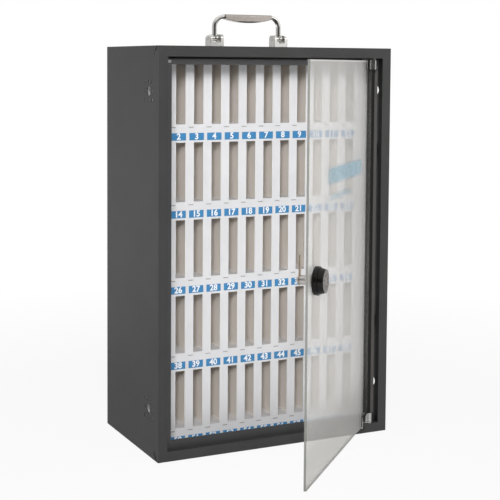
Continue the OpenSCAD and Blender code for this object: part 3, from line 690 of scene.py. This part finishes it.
class LockerLock(bpy.types.Operator):
    """Finish the lock's base, knob, dial and inner works, and print the dial's numbers"""

    bl_idname = "locker.lock"
    bl_label = "Dial lock"

    def execute(self, context):
        sizes, colours, _ = settings()
        # Moulded ABS with a soft gloss. Its IOR is below the real one, so that the knob stays black.
        plastic = moulded("Black ABS", colours.knob, roughness=0.28, grain_mm=0.7, ior=1.34)
        dress(["lock_base", "lock_knob"], plastic)
        # The dial's plastic is duller, and takes the light evenly.
        face = moulded("Warm grey dial face", colours.dial, roughness=0.4, grain_mm=0.5, ior=1.5)
        dress(["lock_dial"], face)
        # Zinc looks like dull silver and is darker at the edges.
        zinc = plated_metal(
            "Bright zinc plate", colours.zinc, roughness=0.4, brush_mm=0.6, brushing=0.1, edge_tone=0.8
        )
        dress(ZINC, zinc)
        # Passivated steel has a warm tone and clearer reflections.
        cam = plated_metal(
            "Yellow passivated steel", colours.cam, roughness=0.3, brush_mm=0.7, brushing=0.12
        )
        dress(["cam"], cam)
        soften(["lock_base"], sizes.base_edge, segments=4)
        soften(["lock_knob"], sizes.cast_edge, segments=3)
        soften(["lock_nut", "cam"], sizes.edge / 2)
        self.number_dial(sizes, printed_film("Dark dial ink", colours.dial_ink, roughness=0.5))
        return {"FINISHED"}

    def number_dial(self, sizes, ink):
        """Prints the figures in a ring on the dial's face, the first at the top."""
        normal = door_normal()
        up = Vector(UP)
        across = up.cross(normal).normalized()
        turn = Matrix((across, up, normal)).transposed().to_4x4()
        face = max(vertex.co.dot(normal) for vertex in NODES["lock_dial"].data.vertices)
        centre = Vector(JOINTS["dial_turn"]["pos_m"])
        centre += normal * (face + sizes.ink / 2 - centre.dot(normal))
        low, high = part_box("lock_dial")
        ring = Matrix.Translation((0, DIAL_RING * (high.z - low.z) / 2, 0))
        marks = []
        for number in range(DIAL_FIGURES):
            step = Matrix.Rotation(-number * math.tau / DIAL_FIGURES, 4, "Z")
            marks.append((str(number), Matrix.Translation(centre) @ turn @ step @ ring))
        figures("dial_numbers", marks, sizes.dial_figure, sizes.dial_weight, sizes.ink, "dial", ink)


class LockerHandle(bpy.types.Operator):
    """Finish the carrying handle and its brackets"""

    bl_idname = "locker.handle"
    bl_label = "Carrying handle"

    def execute(self, context):
        sizes, colours, _ = settings()
        # Satin chrome, whose soft bright reflections end in a dark line along each edge, painted as dark
        # reflection.
        chrome = plated_metal(
            "Satin chrome plate",
            colours.handle,
            roughness=0.16,
            brush_mm=0.9,
            brushing=0.1,
            edge_tone=0.3,
            edge_mm=1.8,
        )
        dress(HANDLE, chrome)
        # The grip's plate is darker and warmer, and brushed more faintly.
        grip = plated_metal(
            "Brushed grip plate", colours.grip, roughness=0.2, brush_mm=0.7, brushing=0.08
        )
        dress(["handle_grip"], grip)
        soften(["bracket_left", "bracket_right", "handle_grip"], sizes.cast_edge, segments=3)
        return {"FINISHED"}


class LockerStage(bpy.types.Operator):
    """Set up the floor, the soft light and the camera"""

    bl_idname = "locker.stage"
    bl_label = "Studio"

    def execute(self, context):
        _, colours, view = settings()
        self.floor(colours)
        self.world(view)
        self.lamp("Key", (-1.05, -2.1, 1.25), size=0.6, power=view.key)
        self.lamp("Side", (-2.6, 0.2, 1.2), size=2.0, power=view.side)
        self.lamp("Fill", (1.7, -2.3, 1.4), size=1.5, power=view.fill, mirrored=True)
        self.camera(view)
        return {"FINISHED"}

    def floor(self, colours):
        """Pale matt floor that keeps the object's faint shadow and reads as white behind it."""
        mesh = bmesh.new()
        bmesh.ops.create_grid(mesh, x_segments=8, y_segments=8, size=FLOOR_WIDTH / 2)
        data = bpy.data.meshes.new("floor")
        mesh.to_mesh(data)
        mesh.free()
        piece = bpy.data.objects.new("floor", data)
        bpy.context.scene.collection.objects.link(piece)
        material, add, place = new_material("Pale studio floor")
        clouds = add("TexNoise", {"Vector": place, "Scale": per_mm(400), "Detail": 2})
        matt = add("BsdfDiffuse", {"Color": tinted(add, opaque(colours.floor), clouds, 0.995, 1.0)})
        glow = add("Emission", {"Color": opaque(WHITE)})
        # The camera sees nine tenths of the white glow under the object and all of it 1.3 m away.
        away = add("VectorMath", (place,), "Value", operation="LENGTH")
        glowing = add("MapRange", (away, 0.5, 1.3, 0.9, 1.0))
        seen = add("Math", (add("LightPath", output="Is Camera Ray"), glowing), operation="MULTIPLY")
        # Metal and glass mirror the glow on the bright side alone.
        aside = add("VectorMath", (place, BRIGHT_SIDE), "Value", operation="DOT_PRODUCT")
        aside = add("MapRange", (aside, 0.0, 0.4))
        mirrored = add("Math", (add("LightPath", output="Is Glossy Ray"), aside), operation="MULTIPLY")
        share = add("Math", (seen, mirrored), operation="ADD")
        add("OutputMaterial", {"Surface": add("MixShader", (share, matt, glow))})
        data.materials.append(material)

    def world(self, view):
        """White surroundings that light the object gently. Metal and glass mirror them as a studio that
        is white overhead and behind the object, and dim in front of it."""
        world = bpy.data.worlds.new("Studio")
        world.use_nodes = True
        world.node_tree.nodes.clear()
        add = functools.partial(add_node, world.node_tree)
        way = add("TexCoord", output="Generated")
        aside = add("VectorMath", (way, BRIGHT_SIDE), "Value", operation="DOT_PRODUCT")
        around = add("MapRange", (aside, -0.5, 0.9, DIM_FRONT, 1.0))
        upward = add("VectorMath", (way, UP), "Value", operation="DOT_PRODUCT")
        overhead = add("MapRange", (upward, 0.3, 0.8))
        mirrored = add("Math", (around, overhead), operation="MAXIMUM")
        plain = add("MapRange", (add("LightPath", output="Is Camera Ray"), 0.0, 1.0, view.ambient, 1.0))
        strength = add("MapRange", (add("LightPath", output="Is Glossy Ray"), 0.0, 1.0, plain, mirrored))
        sky = add("Background", {"Color": opaque(WHITE), "Strength": strength})
        add("OutputWorld", {"Surface": sky})
        bpy.context.scene.world = world

    def lamp(self, name, place, size, power, mirrored=False):
        """Square soft lamp that points at the cabinet. Metal and glass show it if it is mirrored."""
        data = bpy.data.lights.new(name, "AREA")
        data.size = size
        data.energy = power
        piece = bpy.data.objects.new(name, data)
        piece.location = place
        piece.rotation_euler = (LAMP_TARGET - Vector(place)).to_track_quat("-Z", "Y").to_euler()
        piece.visible_glossy = mirrored
        bpy.context.scene.collection.objects.link(piece)

    def camera(self, view):
        """Camera at the photograph's place."""
        right = Vector((math.cos(view.yaw), -math.sin(view.yaw), 0))
        ahead = Vector((math.sin(view.yaw), math.cos(view.yaw), 0)) * math.cos(view.pitch)
        ahead.z = -math.sin(view.pitch)
        up = right.cross(ahead)
        rolled_right = right * math.cos(view.roll) + up * math.sin(view.roll)
        rolled_up = up * math.cos(view.roll) - right * math.sin(view.roll)
        data = bpy.data.cameras.new("Camera")
        data.sensor_width = view.sensor
        data.lens = view.lens
        data.shift_y = view.rise
        piece = bpy.data.objects.new("Camera", data)
        turn = Matrix((rolled_right, rolled_up, -ahead)).transposed().to_4x4()
        piece.matrix_world = Matrix.Translation(Vector(view.place)) @ turn
        bpy.context.scene.collection.objects.link(piece)
        bpy.context.scene.camera = piece
        bpy.context.scene.view_settings.view_transform = "Standard"


class LockerPanel(bpy.types.Panel):
    """Lists the steps that finish the locker box"""

    bl_idname = "VIEW3D_PT_locker"
    bl_label = "Cell phone locker box"
    bl_space_type = "VIEW_3D"
    bl_region_type = "UI"
    bl_category = "Locker"

    def draw(self, context):
        for step in STEPS:
            self.layout.operator(step.bl_idname)


STEPS = (
    LockerStage,
    LockerCabinet,
    LockerRack,
    LockerLabels,
    LockerDoor,
    LockerPivots,
    LockerLock,
    LockerHandle,
)
GROUPS = {
    "locker_sizes": LockerSizes,
    "locker_colours": LockerColours,
    "locker_glass": LockerGlass,
    "locker_view": LockerView,
}


def register():
    """Adds the settings, the steps and the panel to Blender."""
    for group in GROUPS.values():
        bpy.utils.register_class(group)
    for name, group in GROUPS.items():
        setattr(bpy.types.Scene, name, bpy.props.PointerProperty(type=group))
    for step in STEPS:
        bpy.utils.register_class(step)
    bpy.utils.register_class(LockerPanel)


def unregister():
    """Takes the panel, the steps and the settings out of Blender again."""
    bpy.utils.unregister_class(LockerPanel)
    for step in reversed(STEPS):
        bpy.utils.unregister_class(step)
    for name in GROUPS:
        delattr(bpy.types.Scene, name)
    for group in GROUPS.values():
        bpy.utils.unregister_class(group)


def main():
    """Runs every step."""
    register()
    for step in STEPS:
        family, name = step.bl_idname.split(".")
        getattr(getattr(bpy.ops, family), name)()


if __name__ == "__main__":
    main()
